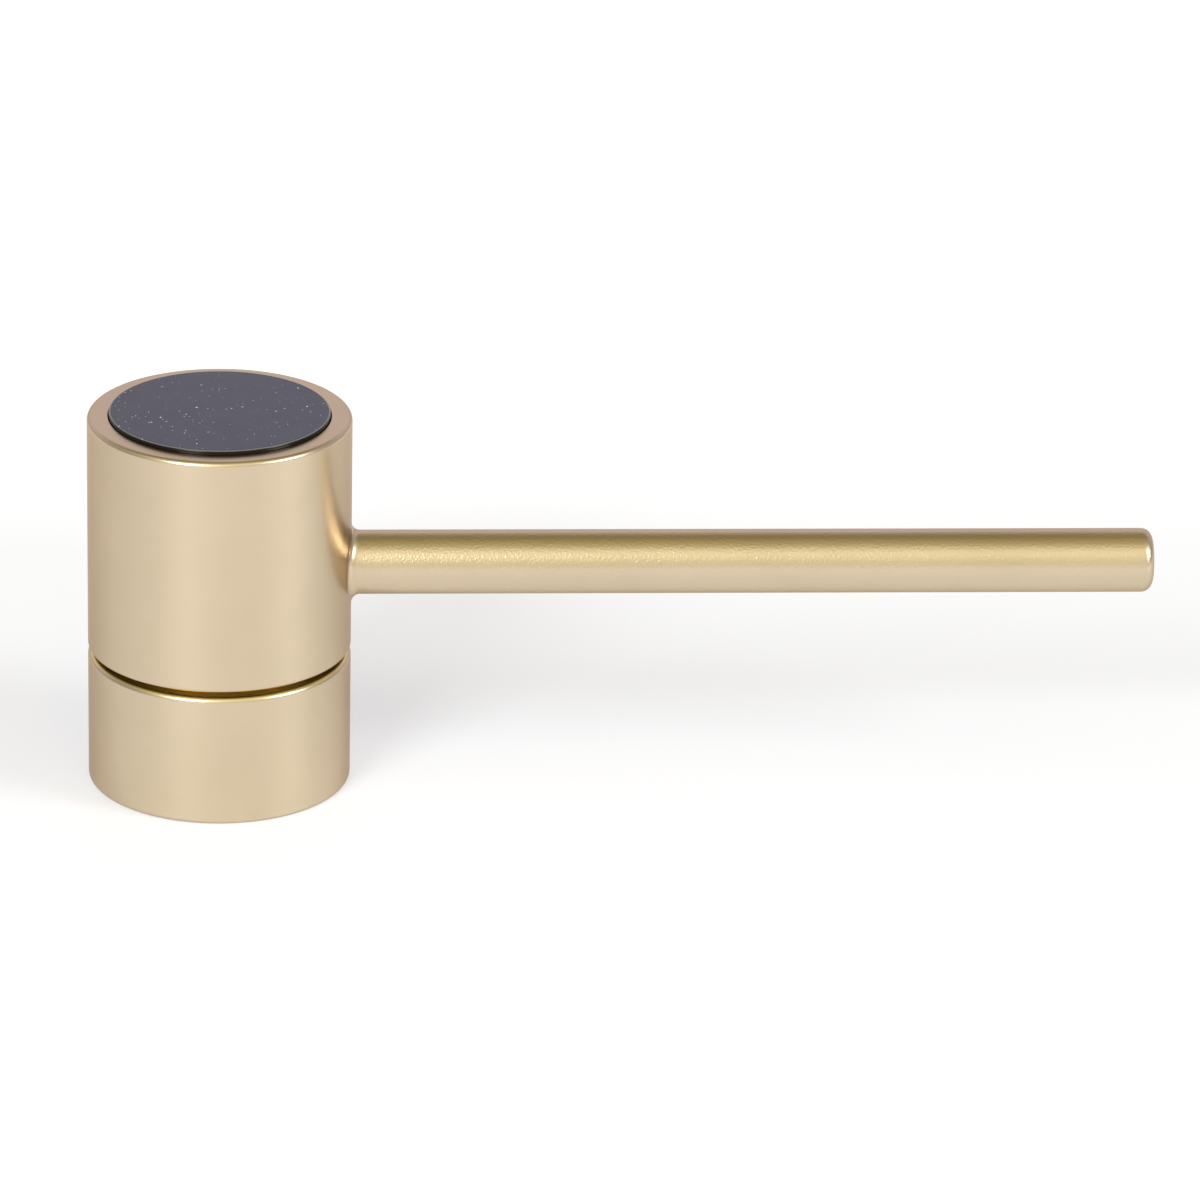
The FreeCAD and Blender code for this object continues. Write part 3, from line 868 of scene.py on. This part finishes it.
def add_floor():
    """Plain pale floor."""
    half = 6.0               # metres, far past the camera's view
    corners = [(-half, -half, 0), (half, -half, 0), (half, half, 0), (-half, half, 0)]
    mesh = bpy.data.meshes.new("floor")
    mesh.from_pydata(corners, [], [(0, 1, 2, 3)])
    mesh.materials.append(floor_look())
    floor = bpy.data.objects.new("floor", mesh)
    bpy.context.scene.collection.objects.link(floor)


front_sky = (                # height (sine of the elevation), colour
    (0.00, (0.98, 0.94, 0.80)),
    (0.14, (0.97, 0.93, 0.74)),
    (0.36, (1.02, 0.97, 0.70)),
    (0.57, (1.18, 1.13, 0.82)),
    (0.77, (1.29, 1.23, 0.91)),
    (0.90, (1.09, 1.00, 0.68)),
    (0.98, (0.66, 0.59, 0.32)),
    (1.00, (0.53, 0.47, 0.25)),
)
rear_sky = (
    (0.00, (0.74, 0.67, 0.67)),
    (0.22, (1.00, 0.95, 1.06)),
    (0.40, (1.05, 1.01, 1.20)),
    (0.63, (0.58, 0.53, 0.42)),
    (0.83, (0.30, 0.26, 0.13)),
    (0.94, (0.30, 0.25, 0.11)),
    (1.00, (0.53, 0.47, 0.25)),
)
sky_seam = 0.45              # the front and rear sky blend up to this far from the seam between them
side_shade = 0.35            # strength of the sky straight to the left and right


def sky_ramp(tree, height, sky):
    """Colour of a sky at a height."""
    ramp = tree.nodes.new("ShaderNodeValToRGB")
    ramp.color_ramp.interpolation = "EASE"
    stops = ramp.color_ramp.elements
    while len(stops) < len(sky):
        stops.new(0.5)
    for stop, (position, colour) in zip(stops, sky):
        stop.position = position
        stop.color = colour + (1.0,)
    tree.links.new(height, ramp.inputs[0])
    return ramp.outputs[0]


def sky_colour(tree, axes):
    """Front sky on the camera's side and rear sky behind, blended in between."""
    share = tree.nodes.new("ShaderNodeMapRange")
    share.interpolation_type = "SMOOTHSTEP"
    share.inputs["From Min"].default_value = -sky_seam
    share.inputs["From Max"].default_value = sky_seam
    tree.links.new(axes["Y"], share.inputs["Value"])
    blend = tree.nodes.new("ShaderNodeMix")
    blend.data_type = "RGBA"
    tree.links.new(share.outputs["Result"], blend.inputs[0])
    tree.links.new(sky_ramp(tree, axes["Z"], front_sky), blend.inputs[6])
    tree.links.new(sky_ramp(tree, axes["Z"], rear_sky), blend.inputs[7])
    return blend.outputs[2]


def sky_strength(tree, axes):
    """Full strength ahead and behind, weaker to the sides."""
    sideways = tree.nodes.new("ShaderNodeMath")
    sideways.operation = "MULTIPLY"
    tree.links.new(axes["X"], sideways.inputs[0])
    tree.links.new(axes["X"], sideways.inputs[1])
    shade = tree.nodes.new("ShaderNodeMapRange")
    shade.inputs["To Min"].default_value = 1.0
    shade.inputs["To Max"].default_value = side_shade
    tree.links.new(sideways.outputs[0], shade.inputs["Value"])
    return shade.outputs["Result"]


def add_world():
    """Pale room, brighter on the camera's side, with a dark ceiling."""
    world = bpy.data.worlds.new("studio")
    bpy.context.scene.world = world
    world.use_nodes = True
    tree = world.node_tree
    tree.nodes.clear()
    split = tree.nodes.new("ShaderNodeSeparateXYZ")
    place = tree.nodes.new("ShaderNodeTexCoord")
    tree.links.new(place.outputs["Generated"], split.inputs[0])
    background = tree.nodes.new("ShaderNodeBackground")
    tree.links.new(sky_colour(tree, split.outputs), background.inputs["Color"])
    tree.links.new(sky_strength(tree, split.outputs), background.inputs["Strength"])
    output = tree.nodes.new("ShaderNodeOutputWorld")
    tree.links.new(background.outputs[0], output.inputs["Surface"])


softbox_size = 0.55
softbox_distance = 1.6
softbox_colour = (0.92, 0.96, 1.0)


def add_softbox(name, azimuth, elevation, radiance):
    """Square area light that faces the object from an azimuth and elevation in degrees."""
    light = bpy.data.lights.new(name, "AREA")
    light.shape = "SQUARE"
    light.size = softbox_size
    light.color = softbox_colour
    light.energy = radiance * math.pi * softbox_size * softbox_size
    lamp = bpy.data.objects.new(name, light)
    bpy.context.scene.collection.objects.link(lamp)
    way = way_towards(azimuth, elevation)
    lamp.location = (cad_box[0] + cad_box[1]) / 2 + way * softbox_distance
    lamp.rotation_mode = "QUATERNION"
    lamp.rotation_quaternion = way.to_track_quat("Z", "Y")


# ---------------------------------------------------------------- the scene

add_camera()
dress(make_collar(), make_hub(), make_rod(), make_stone(), make_plug())
add_floor()
add_world()
add_softbox("key", azimuth=-32, elevation=34, radiance=14.0)
add_softbox("side", azimuth=62, elevation=30, radiance=12.5)
bpy.context.scene.view_settings.view_transform = "Standard"
